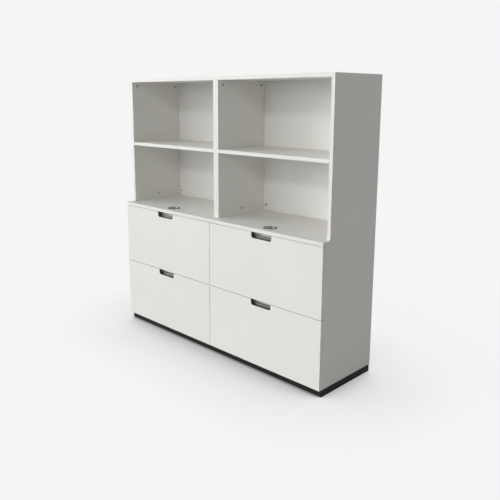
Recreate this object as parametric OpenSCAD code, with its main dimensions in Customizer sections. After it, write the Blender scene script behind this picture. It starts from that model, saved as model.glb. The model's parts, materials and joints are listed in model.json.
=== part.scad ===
// Storage cupboard: four lateral file drawers under a stepped-back pair of open shelf bays.
// Millimetres, +Z up, origin at the middle of the footprint on the floor, drawers facing -Y.

/* [Overall] */
// Width over the side panels
cabinet_w = 1600; // [1300:10:1800]
// Depth from the drawer fronts to the back
cabinet_d = 452; // [430:1:520]
// Height over the top panel
cabinet_h = 1590; // [1400:10:2000]
// Height of the worktop's upper face
worktop_z = 801; // [740:1:860]
// Set-back of the open bays behind the drawer fronts
step_d = 55; // [35:1:90]
// Radius where the stepped side panel runs into the worktop
step_r = 15; // [5:1:30]

/* [Boards] */
// Thickness of the side panels
side_t = 19; // [16:0.5:25]
// Thickness of the top panel
top_t = 20; // [16:0.5:30]
// Thickness of the worktop
worktop_t = 20; // [18:0.5:30]
// Thickness of the bottom panel
bottom_t = 19; // [16:0.5:25]
// Thickness of one board of the double partition
partition_t = 19; // [16:0.5:25]
// Seam between the two boards of a partition
partition_seam = 0.4; // [0.2:0.1:1]
// Thickness of the shelves
shelf_t = 19; // [16:0.5:30]
// Thickness of the back boards
back_t = 16; // [8:0.5:19]
// Height of the shelves' upper faces above the worktop
shelf_rise = 389.5; // [250:0.5:520]
// Gap at the ends and at the rear of a shelf
shelf_gap = 0.5; // [0.3:0.1:2]

/* [Plinth] */
// Height of the plinth
plinth_h = 40; // [30:1:100]
// Thickness of the plinth rails
plinth_t = 18; // [15:0.5:22]
// Set-back of the plinth behind the drawer fronts
plinth_setback = 22; // [21:1:40]
// Inset of the plinth at the ends and at the rear
plinth_inset = 2; // [0:0.5:4]

/* [Drawer fronts] */
// Thickness of the drawer fronts
front_t = 19; // [16:0.5:22]
// Gap between neighbouring fronts
front_gap = 3; // [2:0.5:5]
// Gap between the upper fronts and the worktop
head_gap = 2; // [1.5:0.5:4]
// Reveal under the lower fronts
foot_gap = 1; // [0:0.5:4]
// Gap between the fronts and the boards behind them
rear_gap = 1; // [0.5:0.5:2]

/* [Grips] */
// Width of the grip cut-out in a front
grip_w = 142; // [100:1:180]
// Depth of the cut-out below the front's top edge
grip_h = 32; // [26:1:45]
// Radius of the cut-out's lower corners
grip_r = 12; // [5:1:16]
// Wall of the grip shell
grip_wall = 2; // [1.2:0.1:2.5]
// Drop of the grip's rear lip below the front's top edge
lip_drop = 19; // [12:0.5:20]
// Radius of the curve between the cut-out's floor and the lip
lip_curve = 6; // [3:0.5:7]
// Radius of the bead along the lip
bead_r = 1.8; // [1.4:0.1:2.5]
// Depth of the finger space behind the front
pocket_d = 17; // [14:0.5:24]
// Drop of the lip behind the cut-out's lower edge
lip_tail = 14; // [8:1:18]
// Width of a foot of the cover behind the grip
cover_foot = 13; // [10:0.5:16]

/* [Drawer boxes] */
// Space behind a drawer box for the lock bar
box_clear = 21; // [16:1:30]
// Sheet thickness of the box walls
wall_t = 1.2; // [0.8:0.1:2]
// Height of the box walls
wall_h = 280; // [200:1:290]
// Seam between the side walls and the rear wall
wall_seam = 0.3; // [0.2:0.1:1]
// Width of the folded edges of the walls
fold_w = 10; // [6:0.5:14]
// Rise of the box above the lower edge of its front
box_rise = 24; // [22:0.5:34]
// Thickness of the box floor
floor_t = 12; // [8:0.5:16]
// Height of a file rail
rail_h = 8; // [5:0.5:12]
// Thickness of a file rail
rail_t = 3; // [2:0.5:4]
// Distance from the front to the first file rail
rail_lead = 22; // [15:1:40]
// Distance from the second file rail to the rear of the box
rail_tail = 41; // [25:1:60]

/* [Runners] */
// Set-back of the runners from the front edges of the boards
runner_lead = 2; // [1:0.5:6]
// Distance from the runners' ends to the rear of the box
runner_tail = 3; // [1:0.5:20]
// Width of a runner between board and box
runner_w = 13; // [12.5:0.1:14]
// Height of the runner member on the board
runner_h = 45; // [42:0.5:50]
// Sheet thickness of the runner members
runner_t = 1.2; // [1:0.1:1.5]
// Height of the runner's centre above the box's lower edge
runner_rise = 60; // [40:1:120]
// Space for the balls between two members
ball_gap = 4; // [3.5:0.1:4.5]
// Running clearance of a ball on each side
ball_play = 0.1; // [0.05:0.01:0.2]
// Number of balls in one row
ball_count = 7; // [4:1:9]

/* [Locks] */
// Diameter of the lock's flange
lock_d = 78; // [72:1:84]
// Distance of the lock's centre behind the drawer fronts
lock_setback = 71; // [66:1:80]
// Width of the raised rim of the flange
lock_rim = 4; // [3:0.5:5]
// Height of the rim above the worktop
rim_h = 1.6; // [1:0.1:3]
// Height of the face inside the rim above the worktop
face_h = 0.6; // [0.4:0.1:0.9]
// Diameter of the lock's body in the worktop
lock_body_d = 62; // [60:0.5:66]
// Diameter of the turning knob
knob_d = 17; // [15:0.5:19]
// Height of the knob's grip bar above the worktop
knob_h = 10; // [6:0.5:14]
// Distance of the knob's axis from the lock's centre
knob_x = 24; // [22:0.5:25]
// Diameter of the raised dial round the number wheels
dial_d = 44; // [40:1:46]
// Height of the dial above the worktop
dial_h = 2.8; // [2:0.1:4]
// Width of the dial's rim
dial_rim = 4; // [3:0.5:5]
// Diameter of a number wheel over its corners
wheel_d = 16; // [14:0.5:17]
// Thickness of a number wheel
wheel_t = 5.4; // [4.5:0.1:5.6]
// Distance from one number wheel to the next
wheel_pitch = 6.2; // [6:0.1:6.5]
// Sideways travel of the lock bar
bar_travel = 10; // [8:0.5:12]
// Width of the lock bar
bar_w = 24; // [22:0.5:28]
// Thickness of the lock bar
bar_t = 3; // [2:0.5:4]

/* [Fittings] */
// Diameter of a cam fitting
cam_d = 15; // [12:0.5:20]
// Depth of a cam fitting in its board
cam_depth = 12.5; // [10:0.5:13]
// Distance of the upper cams below the top panel
cam_drop = 24; // [20:1:40]
// Distance of the lower cams above the worktop
cam_lift = 33; // [25:1:50]
// Distance of the upper cams from the boards' front edges
cam_edge = 39; // [25:1:60]
// Distance of the rear upper cams from the back
cam_back = 46; // [30:1:70]
// Distance of the back boards' cams from the corner
cam_corner = 20; // [15:1:40]
// Diameter of a shelf pin
pin_d = 5; // [4:0.5:6]
// Depth of a shelf pin in its board
pin_depth = 8; // [6:0.5:10]
// Distance of the shelf pins from the shelf's edges
pin_edge = 37; // [25:1:80]

/* [Hidden] */
$fn = 48;

white = [0.93, 0.93, 0.91];
charcoal = [0.20, 0.21, 0.22];
dark_grey = [0.27, 0.29, 0.32];
zinc = [0.72, 0.73, 0.74];
silver = [0.80, 0.81, 0.82];
left = -1;
right = 1;
lower = 0;
upper = 1;
eps = 0.01;

// Main planes of the cupboard
half_w = cabinet_w / 2;
front_y = -cabinet_d / 2;
back_y = cabinet_d / 2;
step_y = front_y + step_d;
board_y = front_y + front_t + rear_gap;
back_face_y = back_y - back_t;
top_under_z = cabinet_h - top_t;
worktop_under_z = worktop_z - worktop_t;
bottom_top_z = plinth_h + bottom_t;
bay_in_x = partition_seam / 2 + partition_t;
bay_out_x = half_w - side_t;
bay_w = bay_out_x - bay_in_x;
bay_x = (bay_in_x + bay_out_x) / 2;
shelf_z = worktop_z + shelf_rise;

// Drawer places
front_h = (worktop_under_z - head_gap - front_gap - plinth_h - foot_gap) / 2;
box_y = front_y + front_t;
box_rear_y = back_face_y - box_clear;
box_l = box_rear_y - box_y;
box_in_x = bay_in_x + runner_w;
box_out_x = bay_out_x - runner_w;
function front_z(row) = plinth_h + foot_gap + row * (front_h + front_gap);
function box_z(row) = front_z(row) + box_rise;
function floor_z(row) = box_z(row) + wall_t;
function wall_top_z(row) = box_z(row) + wall_h;

// Runner profile: three nested members with a row of balls between each two
runner_y = board_y + runner_lead;
runner_l = box_rear_y - runner_tail - runner_y;
mid_h = runner_h - 2 * (runner_t + ball_gap);
inner_h = mid_h - 2 * (runner_t + ball_gap);
member_gap = 1.2;
flange_gap = 1.6;
rail_lip = 1.4;
rail_set_in = 3.4;
cage_t = 0.8;
cage_short = 10;
cage_l = runner_l / 2 - cage_short;
cage_margin = 6;

// Lock places
lock_y = front_y + lock_setback;
lock_bore_play = 0.2;
body_drop = 2;
body_bottom = -worktop_t - body_drop;
wheel_x = -14;
wheel_rise = 2.4;
wheel_axis_h = wheel_rise - wheel_d / 2;
wheel_play = 0.6;
lid_t = 1.6;
chamber_w = 2 * wheel_pitch + wheel_t + 2 * wheel_play;
chamber_r = wheel_d / 2 + wheel_play;
chamber_top = face_h - lid_t;
window_w = 2 * sqrt(chamber_r * chamber_r - pow(chamber_top - wheel_axis_h, 2));
axle_r = 1.5;
axle_play = 0.05;
shaft_r = 4;
shaft_play = 0.05;
knob_lift = 0.3;
crank_r = 10;
crank_t = 2;
crank_gap = 0.3;
crank_arm = bar_travel / sqrt(2);
drive_pin_r = 2;
drive_pin_play = 0.3;
disc_t = 1.4;
grip_bar_t = 5;
grip_bar_l = knob_d - 2;
bar_play = 0.2;
bar_front = crank_r + 6;
bar_top = body_bottom - crank_gap - crank_t - bar_play;
bar_x = knob_x - bar_travel / 2;
guide_r = 3;
guide_head_r = 6;
guide_head_t = 3;
guide_lead = 40;
guide_y = [guide_lead, box_rear_y - lock_y - guide_lead];
strip_gap = 5;
strip_y = box_rear_y + strip_gap;
tab_w = 12;
tab_h = 20;
catch_t = 2;
catch_gap = 2;
catch_x = bar_x + bar_w / 2 + tab_w + catch_gap;
catch_w = 15;
catch_h = 24;
catch_drop = 80;
catch_y = strip_y + bar_t + catch_gap;
function lock_x(side) = side * bay_x;
function catch_z(row) = wall_top_z(row) - catch_drop;

// Fitting places on the walls of a bay, as depth and height
cam_places = [
    [step_y + cam_edge, top_under_z - cam_drop],
    [back_y - cam_back, top_under_z - cam_drop],
    [(step_y + back_face_y) / 2, worktop_z + cam_lift]
];
cam_play = 0.1;
cam_slot_l = 9;
cam_slot_w = 2;
cam_slot_d = 1.5;
pin_plate = [10, 12, 2.5];
pin_bore_play = 0.05;
pin_y = [step_y + pin_edge, back_face_y - pin_edge];
pin_z = shelf_z - shelf_t - pin_plate[2] - pin_d / 2;

// Draws its children for the right bay, or mirrored for the left one
module bay(side) {
    mirror([side < 0 ? 1 : 0, 0, 0]) children();
}

// A box between two opposite corners
module block(low, high) {
    translate(low) cube(high - low);
}

// Lays an outline drawn in Y and Z on the plane at x and gives it a thickness along +X
module along_x(x, t) {
    translate([x, 0, 0]) rotate([90, 0, 90]) linear_extrude(t) children();
}

// Lays an outline drawn in X and Z on the plane at y and gives it a length along +Y
module along_y(y, l) {
    translate([0, y + l, 0]) rotate([90, 0, 0]) linear_extrude(l) children();
}

// A rod along +X
module rod_x(r, l) {
    rotate([0, 90, 0]) cylinder(r = r, h = l);
}

// Bores for the cams and shelf pins, entering a board along +X from its face at x
module wall_bores(x) {
    for (p = cam_places) translate([x - eps, p[0], p[1]]) rod_x(cam_d / 2, cam_depth + eps);
    for (y = pin_y) translate([x - eps, y, pin_z]) rod_x(pin_d / 2 + pin_bore_play, pin_depth + eps);
}

// The same bores entering along -X
module wall_bores_back(x) {
    translate([2 * x, 0, 0]) mirror([1, 0, 0]) wall_bores(x);
}

// Stepped outline of a side panel, front to the left
module side_outline() {
    translate([board_y, plinth_h]) square([back_y - board_y, worktop_z - plinth_h]);
    translate([front_y, worktop_under_z]) square([back_y - front_y, worktop_t]);
    translate([step_y, plinth_h]) square([back_y - step_y, top_under_z - plinth_h]);
    difference() {
        translate([step_y - step_r, worktop_z - eps]) square([step_r + eps, step_r + eps]);
        translate([step_y - step_r, worktop_z + step_r]) circle(step_r);
    }
}

module side_panel(side) {
    color(white) bay(side) difference() {
        along_x(bay_out_x, side_t) side_outline();
        wall_bores(bay_out_x);
    }
}

module top_panel() {
    color(white) block([-half_w, step_y, top_under_z], [half_w, back_y, cabinet_h]);
}

module worktop() {
    color(white) difference() {
        block([-bay_out_x, front_y, worktop_under_z], [bay_out_x, back_y, worktop_z]);
        for (side = [left, right])
            translate([lock_x(side), lock_y, worktop_under_z - eps])
                cylinder(d = lock_body_d, h = worktop_t + 2 * eps, $fn = 96);
    }
}

module bottom_panel() {
    color(white) block([-bay_out_x, board_y, plinth_h], [bay_out_x, back_y, bottom_top_z]);
}

module partitions_lower() {
    for (side = [left, right])
        color(white) bay(side)
            block([partition_seam / 2, board_y, bottom_top_z],
                  [bay_in_x, back_face_y, worktop_under_z]);
}

module partitions_upper() {
    for (side = [left, right])
        color(white) bay(side) difference() {
            block([partition_seam / 2, step_y, worktop_z], [bay_in_x, back_face_y, top_under_z]);
            wall_bores_back(bay_in_x);
        }
}

module back_lower() {
    color(white)
        block([-bay_out_x, back_face_y, bottom_top_z], [bay_out_x, back_y, worktop_under_z]);
}

// Places of the cams in the upper back board, two to a bay
module at_back_cams() {
    for (side = [left, right])
        for (x = [bay_in_x + cam_corner, bay_out_x - cam_corner])
            translate([side * x, back_face_y, worktop_z + cam_lift]) children();
}

module back_upper() {
    color(white) difference() {
        block([-bay_out_x, back_face_y, worktop_z], [bay_out_x, back_y, top_under_z]);
        at_back_cams()
            translate([0, cam_depth, 0]) rotate([90, 0, 0]) cylinder(d = cam_d, h = cam_depth + eps);
    }
}

module shelf(side) {
    color(white) bay(side)
        block([bay_in_x + shelf_gap, step_y, shelf_z - shelf_t],
              [bay_out_x - shelf_gap, back_face_y - shelf_gap, shelf_z]);
}

// One shelf pin in a board whose face is at x, its plate towards -X
module shelf_pin(x, y) {
    translate([x, y, pin_z]) {
        translate([-pin_plate[0], 0, 0]) rod_x(pin_d / 2, pin_depth + pin_plate[0]);
        translate([-pin_plate[0], -pin_plate[1] / 2, 0])
            cube([pin_plate[0] - shelf_gap, pin_plate[1], pin_d / 2 + pin_plate[2]]);
    }
}

module shelf_pins() {
    for (side = [left, right], y = pin_y)
        color(zinc) bay(side) {
            shelf_pin(bay_out_x, y);
            translate([2 * bay_in_x, 0, 0]) mirror([1, 0, 0]) shelf_pin(bay_in_x, y);
        }
}

// A cam with its cross slot, face at the origin, body along +X
module cam() {
    difference() {
        rod_x(cam_d / 2 - cam_play, cam_depth);
        for (a = [0, 90])
            rotate([a, 0, 0])
                translate([-eps, -cam_slot_l / 2, -cam_slot_w / 2])
                    cube([cam_slot_d + eps, cam_slot_l, cam_slot_w]);
    }
}

module cam_fittings() {
    color(zinc) {
        for (side = [left, right], p = cam_places)
            bay(side) {
                translate([bay_out_x, p[0], p[1]]) cam();
                translate([bay_in_x, p[0], p[1]]) mirror([1, 0, 0]) cam();
            }
        at_back_cams() rotate([0, 0, 90]) cam();
    }
}

plinth_x = half_w - plinth_inset;
plinth_front_y = front_y + plinth_setback;
plinth_back_y = back_y - plinth_inset;

module plinth_front() {
    color(charcoal)
        block([-plinth_x, plinth_front_y, 0], [plinth_x, plinth_front_y + plinth_t, plinth_h]);
}

module plinth_back() {
    color(charcoal)
        block([-plinth_x, plinth_back_y - plinth_t, 0], [plinth_x, plinth_back_y, plinth_h]);
}

module plinth_cross_rails() {
    for (x = [-plinth_x, -plinth_t / 2, plinth_x - plinth_t])
        color(charcoal)
            block([x, plinth_front_y + plinth_t, 0],
                  [x + plinth_t, plinth_back_y - plinth_t, plinth_h]);
}

// A channel outline of height h, web from x to x + t, flanges reaching as far as tip
module channel(x, tip, h) {
    translate([x, -h / 2]) square([runner_t, h]);
    for (flip = [0, 1])
        mirror([0, flip])
            translate([min(x, tip), h / 2 - runner_t]) square([abs(tip - x), runner_t]);
}

// Runner outlines, board face at 0 and box face at runner_w
mid_web = runner_t + member_gap;
inner_web = runner_w - runner_t;
rail_tip = runner_w - rail_set_in;
mid_tip = inner_web - member_gap;
inner_tip = mid_web + runner_t + flange_gap;

module rail_outline() {
    channel(0, rail_tip, runner_h);
    for (flip = [0, 1])
        mirror([0, flip])
            translate([rail_tip - runner_t, runner_h / 2 - runner_t - rail_lip])
                square([runner_t, rail_lip + eps]);
}

module mid_outline() {
    channel(mid_web, mid_tip, mid_h);
}

module inner_outline() {
    translate([inner_web, -inner_h / 2]) square([runner_t, inner_h]);
    for (flip = [0, 1])
        mirror([0, flip])
            translate([inner_tip, inner_h / 2 - runner_t])
                square([inner_web - inner_tip + eps, runner_t]);
}

// A ball cage between two members: a strip in each ball gap that holds one row of balls
module cage(y, ball_x, h) {
    r = ball_gap / 2 - ball_play;
    pitch = (cage_l - 2 * cage_margin) / (ball_count - 1);
    for (flip = [0, 1])
        mirror([0, 0, flip])
            translate([ball_x, y, h / 2 + ball_gap / 2]) {
                translate([-r - cage_t, 0, -cage_t / 2]) cube([2 * (r + cage_t), cage_l, cage_t]);
                for (i = [0 : ball_count - 1])
                    translate([0, cage_margin + i * pitch, 0]) sphere(r, $fn = 24);
            }
}

rail_ball_x = (mid_web + rail_tip - runner_t) / 2;
inner_ball_x = (inner_tip + mid_tip) / 2;

// Puts children at both runners of a drawer, drawn from the board towards the box
module at_runners(side, row) {
    bay(side) translate([0, 0, box_z(row) + runner_rise]) {
        translate([bay_in_x, 0, 0]) children();
        translate([bay_out_x, 0, 0]) mirror([1, 0, 0]) children();
    }
}

module runner_rails() {
    for (side = [left, right], row = [lower, upper])
        color(zinc) at_runners(side, row) along_y(runner_y, runner_l) rail_outline();
}

module runner_mid(side, row) {
    color(zinc) at_runners(side, row) {
        along_y(runner_y, runner_l) mid_outline();
        cage(runner_y + runner_l - cage_l, rail_ball_x, mid_h);
        cage(runner_y, inner_ball_x, inner_h);
    }
}

module runner_inner(side, row) {
    color(zinc) at_runners(side, row) along_y(runner_y, runner_l) inner_outline();
}

// U-shaped outline of the grip cut-out, hanging down from the front's top edge at 0
module grip_outline(w, h, r) {
    translate([-w / 2, r - h]) square([w, h - r]);
    translate([r - w / 2, -h]) square([w - 2 * r, h]);
    for (x = [r - w / 2, w / 2 - r]) translate([x, r - h]) circle(r);
}

grip_fit = 0.15;
grip_recess = 0.4;
lip_side = 3;
lip_gap = 1.5;
cover_play = 0.5;
cover_gap = 3;
cover_low = -grip_h - lip_tail - cover_play - wall_t;
cover_half = grip_w / 2 + lip_side + cover_play;

// The same outline, a little longer upwards, for cutting through an upper edge
module grip_cut(w, h, r) {
    grip_outline(w, h, r);
    translate([-w / 2, -eps]) square([w, 2 * eps]);
}

module front(side, row) {
    color(white) difference() {
        bay(side)
            block([front_gap / 2, front_y, front_z(row)], [half_w, box_y, front_z(row) + front_h]);
        translate([side * bay_x, 0, front_z(row) + front_h])
            along_y(front_y - eps, front_t + 2 * eps) grip_cut(grip_w, grip_h, grip_r);
    }
}

// Lining of the cut-out, closed behind by a low lip with a bead that the fingers hook over
module grip(side, row) {
    outer_w = grip_w - 2 * grip_fit;
    outer_h = grip_h - grip_fit;
    inner_w = outer_w - 2 * grip_wall;
    lip_w = grip_w + 2 * lip_side;
    color(dark_grey) translate([side * bay_x, 0, front_z(row) + front_h]) {
        difference() {
            union() {
                along_y(front_y + grip_recess, front_t - grip_recess)
                    grip_outline(outer_w, outer_h, grip_r - grip_fit);
                block([-lip_w / 2, box_y, -grip_h - lip_tail],
                      [lip_w / 2, box_y + grip_wall, -lip_gap]);
            }
            along_y(front_y, front_t)
                grip_cut(inner_w, outer_h - grip_wall, grip_r - grip_fit - grip_wall);
            block([-inner_w / 2, front_y, -lip_drop], [inner_w / 2, box_y + grip_wall + eps, eps]);
        }
        translate([-inner_w / 2 - eps, box_y + grip_wall / 2, -lip_drop])
            rod_x(bead_r, inner_w + 2 * eps);
        intersection() {
            along_y(front_y, front_t + eps)
                grip_outline(outer_w - grip_wall, outer_h - grip_wall / 2,
                             grip_r - grip_fit - grip_wall / 2);
            lip_foot(inner_w + 2 * eps, grip_wall - outer_h);
        }
    }
}

// Hollow curve of length l in the corner between a floor at z and the lip
module lip_foot(l, z) {
    difference() {
        block([-l / 2, box_y - lip_curve, z - eps], [l / 2, box_y + eps, z + lip_curve]);
        translate([-l / 2 - eps, box_y - lip_curve, z + lip_curve]) rod_x(lip_curve, l + 2 * eps);
    }
}

// Folded white cover of the finger space, on two feet against the back of the front
module grip_cover(side, row) {
    back = box_y + pocket_d;
    translate([side * bay_x, 0, front_z(row) + front_h]) {
        block([-cover_half, box_y, cover_low], [cover_half, back + wall_t, cover_low + wall_t]);
        block([-cover_half - wall_t, back, cover_low],
              [cover_half + wall_t, back + wall_t, -cover_gap]);
        for (s = [left, right]) mirror([s < 0 ? 1 : 0, 0, 0]) {
            block([cover_half, box_y, cover_low], [cover_half + wall_t, back + eps, -cover_gap]);
            block([cover_half, box_y, cover_low],
                  [cover_half + cover_foot, box_y + wall_t, -cover_gap]);
        }
    }
}

// Folded outline of a box wall: web at 0 and folded edges of width w, both towards +X
module wall_outline(w) {
    square([wall_t, wall_h]);
    square([w, wall_t]);
    translate([0, wall_h - wall_t]) square([w, wall_t]);
}

// Catch on the rear wall, behind which the lock bar's tab slides
module bar_catch(side, row) {
    translate([lock_x(side) + catch_x, box_rear_y + wall_seam, catch_z(row) - catch_h / 2]) {
        translate([catch_w - catch_t, 0, 0]) cube([catch_t, catch_t + catch_y - box_rear_y, catch_h]);
        translate([0, catch_y - box_rear_y, 0]) cube([catch_w, catch_t, catch_h]);
        translate([catch_w - catch_t, 0, 0]) cube([catch_w, catch_t, catch_h]);
    }
}

module box_walls(side, row) {
    inner_x = [box_in_x + wall_t + wall_seam, box_out_x - wall_t - wall_seam];
    fold_x = [box_in_x + fold_w + wall_seam, box_out_x - fold_w - wall_seam];
    color(white) {
        bay(side) translate([0, 0, box_z(row)]) {
            translate([box_in_x, 0, 0]) along_y(box_y, box_l) wall_outline(fold_w);
            translate([box_out_x, 0, 0]) mirror([1, 0, 0]) along_y(box_y, box_l) wall_outline(fold_w);
            translate([0, box_rear_y, 0]) {
                block([inner_x[0], -wall_t, wall_t + wall_seam],
                      [inner_x[1], 0, wall_h - wall_t - wall_seam]);
                block([fold_x[0], -fold_w, wall_h - wall_t - wall_seam - eps],
                      [fold_x[1], 0, wall_h]);
            }
        }
        bar_catch(side, row);
        grip_cover(side, row);
    }
}

module box_floor(side, row) {
    color(white) bay(side)
        block([box_in_x + wall_t, box_y, floor_z(row)],
              [box_out_x - wall_t, box_rear_y - wall_t, floor_z(row) + floor_t]);
}

rail_tab_l = 12;
rail_tab_drop = 14;
rail_tab_inset = fold_w + 0.5;

// Two bars across the walls' folded edges, each with a tab inside either wall
module file_rails(side, row) {
    for (y = [box_y + rail_lead, box_rear_y - rail_tail - rail_t])
        color(zinc) bay(side) translate([0, y, wall_top_z(row)]) {
            block([box_in_x, 0, 0], [box_out_x, rail_t, rail_h]);
            for (x = [box_in_x + rail_tab_inset, box_out_x - rail_tab_inset - rail_tab_l])
                translate([x, 0, -rail_tab_drop]) cube([rail_tab_l, rail_t, rail_tab_drop + eps]);
        }
}

// Puts children at a lock's centre on the worktop
module at_lock(side) {
    translate([lock_x(side), lock_y, worktop_z]) children();
}

// Body below a flange with a raised rim and a raised dial, before anything is cut out
module lock_body() {
    difference() {
        cylinder(d = lock_d, h = rim_h, $fn = 96);
        translate([0, 0, face_h]) cylinder(d = lock_d - 2 * lock_rim, h = rim_h, $fn = 96);
    }
    translate([0, 0, body_bottom])
        cylinder(d = lock_body_d - 2 * lock_bore_play, h = face_h - body_bottom, $fn = 96);
    translate([wheel_x, 0, 0]) cylinder(d = dial_d, h = dial_h, $fn = 72);
}

// Lock body with its wheel chamber, shaft bore and axle
module lock_housing(side) {
    color(dark_grey) at_lock(side) {
        difference() {
            lock_body();
            translate([wheel_x, 0, face_h]) cylinder(d = dial_d - 2 * dial_rim, h = dial_h, $fn = 72);
            translate([wheel_x - chamber_w / 2, 0, 0]) {
                block([0, -window_w / 2, chamber_top - eps], [chamber_w, window_w / 2, rim_h]);
                block([0, -chamber_r, wheel_axis_h - chamber_r],
                      [chamber_w, chamber_r, chamber_top]);
            }
            translate([knob_x, 0, body_bottom - eps])
                cylinder(r = shaft_r + shaft_play, h = rim_h - body_bottom + eps);
        }
        translate([wheel_x - chamber_w / 2 - eps, 0, wheel_axis_h])
            rod_x(axle_r, chamber_w + 2 * eps);
    }
}

// A ten-sided number wheel on the axle, place -1, 0 or 1
module number_wheel(side, place) {
    color(silver) at_lock(side)
        translate([wheel_x + place * wheel_pitch - wheel_t / 2, 0, wheel_axis_h])
            difference() {
                rotate([0, 90, 0]) cylinder(d = wheel_d, h = wheel_t, $fn = 10);
                translate([-eps, 0, 0]) rod_x(axle_r + axle_play, wheel_t + 2 * eps);
            }
}

// Knob with its grip bar, shaft, crank and drive pin
module lock_knob(side) {
    disc_z = face_h + knob_lift;
    crank_z = body_bottom - crank_gap - crank_t;
    color(silver) at_lock(side) translate([knob_x, 0, 0]) {
        translate([0, 0, disc_z]) cylinder(d = knob_d, h = disc_t);
        for (y = [-1, 1])
            translate([0, y * (grip_bar_l - grip_bar_t) / 2, disc_z])
                cylinder(d = grip_bar_t, h = knob_h - disc_z);
        translate([-grip_bar_t / 2, -(grip_bar_l - grip_bar_t) / 2, disc_z])
            cube([grip_bar_t, grip_bar_l - grip_bar_t, knob_h - disc_z]);
        translate([0, 0, crank_z]) cylinder(r = shaft_r, h = disc_z - crank_z + eps);
        translate([0, 0, crank_z]) cylinder(r = crank_r, h = crank_t);
        rotate([0, 0, -135]) translate([crank_arm, 0, crank_z - bar_play - bar_t])
            cylinder(r = drive_pin_r, h = bar_t + bar_play + eps);
    }
}

// A slot of radius r through the lock bar's link, of length l from a start point, at an angle
module bar_slot(r, start, l, angle) {
    translate([start[0], start[1], bar_top - bar_t - eps]) rotate([0, 0, angle])
        linear_extrude(bar_t + 2 * eps) {
            for (x = [0, l]) translate([x, 0]) circle(r);
            translate([0, -r]) square([l, 2 * r]);
        }
}

// Bent flat bar: a link under the worktop, a strip behind the boxes and a tab for each drawer
module lock_bar(side) {
    low_z = catch_z(lower) - tab_h / 2 - worktop_z;
    color(zinc) at_lock(side) translate([bar_x, 0, 0]) {
        difference() {
            block([-bar_w / 2, -bar_front, bar_top - bar_t],
                  [bar_w / 2, strip_y + bar_t - lock_y, bar_top]);
            bar_slot(drive_pin_r + drive_pin_play, [0, -crank_arm], crank_arm - bar_travel / 2, 90);
            for (y = guide_y) bar_slot(guide_r + bar_play, [-bar_travel / 2, y], bar_travel, 0);
        }
        translate([0, strip_y - lock_y, 0]) {
            block([-bar_w / 2, 0, low_z], [bar_w / 2, bar_t, bar_top - bar_t + eps]);
            for (row = [lower, upper])
                block([bar_w / 2 - eps, 0, catch_z(row) - worktop_z - tab_h / 2],
                      [bar_w / 2 + tab_w, bar_t, catch_z(row) - worktop_z + tab_h / 2]);
        }
    }
}

// Shouldered screws under the worktop that carry the lock bars
module lock_guides() {
    collar_h = -worktop_t - bar_top - bar_play;
    for (side = [left, right], y = guide_y)
        color(zinc) at_lock(side) translate([bar_x + bar_travel / 2, y, 0]) {
            translate([0, 0, -worktop_t - collar_h]) cylinder(r = guide_head_r, h = collar_h);
            translate([0, 0, bar_top - bar_t - bar_play - guide_head_t])
                cylinder(r = guide_head_r, h = guide_head_t);
            translate([0, 0, bar_top - bar_t - bar_play - eps])
                cylinder(r = guide_r, h = bar_t + 2 * bar_play + 2 * eps);
        }
}

side_panel(left);  // side_panel_left
side_panel(right);  // side_panel_right
top_panel();
worktop();
bottom_panel();
partitions_lower();
partitions_upper();
back_lower();
back_upper();
shelf(left);  // shelf_left
shelf(right);  // shelf_right
shelf_pins();
cam_fittings();
plinth_front();
plinth_back();
plinth_cross_rails();
runner_rails();
lock_guides();
lock_housing(left);  // lock_housing_left
lock_housing(right);  // lock_housing_right
lock_knob(left);  // lock_knob_left
lock_knob(right);  // lock_knob_right
lock_bar(left);  // lock_bar_left
lock_bar(right);  // lock_bar_right
number_wheel(left, -1);  // wheel_left_a
number_wheel(left, 0);  // wheel_left_b
number_wheel(left, 1);  // wheel_left_c
number_wheel(right, -1);  // wheel_right_a
number_wheel(right, 0);  // wheel_right_b
number_wheel(right, 1);  // wheel_right_c
front(left, upper);  // front_upper_left
front(right, upper);  // front_upper_right
front(left, lower);  // front_lower_left
front(right, lower);  // front_lower_right
grip(left, upper);  // grip_upper_left
grip(right, upper);  // grip_upper_right
grip(left, lower);  // grip_lower_left
grip(right, lower);  // grip_lower_right
box_walls(left, upper);  // box_walls_upper_left
box_walls(right, upper);  // box_walls_upper_right
box_walls(left, lower);  // box_walls_lower_left
box_walls(right, lower);  // box_walls_lower_right
box_floor(left, upper);  // box_floor_upper_left
box_floor(right, upper);  // box_floor_upper_right
box_floor(left, lower);  // box_floor_lower_left
box_floor(right, lower);  // box_floor_lower_right
file_rails(left, upper);  // file_rails_upper_left
file_rails(right, upper);  // file_rails_upper_right
file_rails(left, lower);  // file_rails_lower_left
file_rails(right, lower);  // file_rails_lower_right
runner_mid(left, upper);  // runner_mid_upper_left
runner_mid(right, upper);  // runner_mid_upper_right
runner_mid(left, lower);  // runner_mid_lower_left
runner_mid(right, lower);  // runner_mid_lower_right
runner_inner(left, upper);  // runner_inner_upper_left
runner_inner(right, upper);  // runner_inner_upper_right
runner_inner(left, lower);  // runner_inner_lower_left
runner_inner(right, lower);  // runner_inner_lower_right
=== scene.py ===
"""Looks of the storage cupboard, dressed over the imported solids.

Each sub-assembly is a class that holds its sizes in metres, builds its pieces and dresses them.
Finishes are small frozen classes that make procedural materials on Object coordinates.
Geometry Nodes make what repeats: screws, rivets, ribs and the numbers round the code wheels.
"""

import json
import logging
import math
from dataclasses import dataclass
from enum import Enum
from itertools import product
from typing import Sequence

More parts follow.
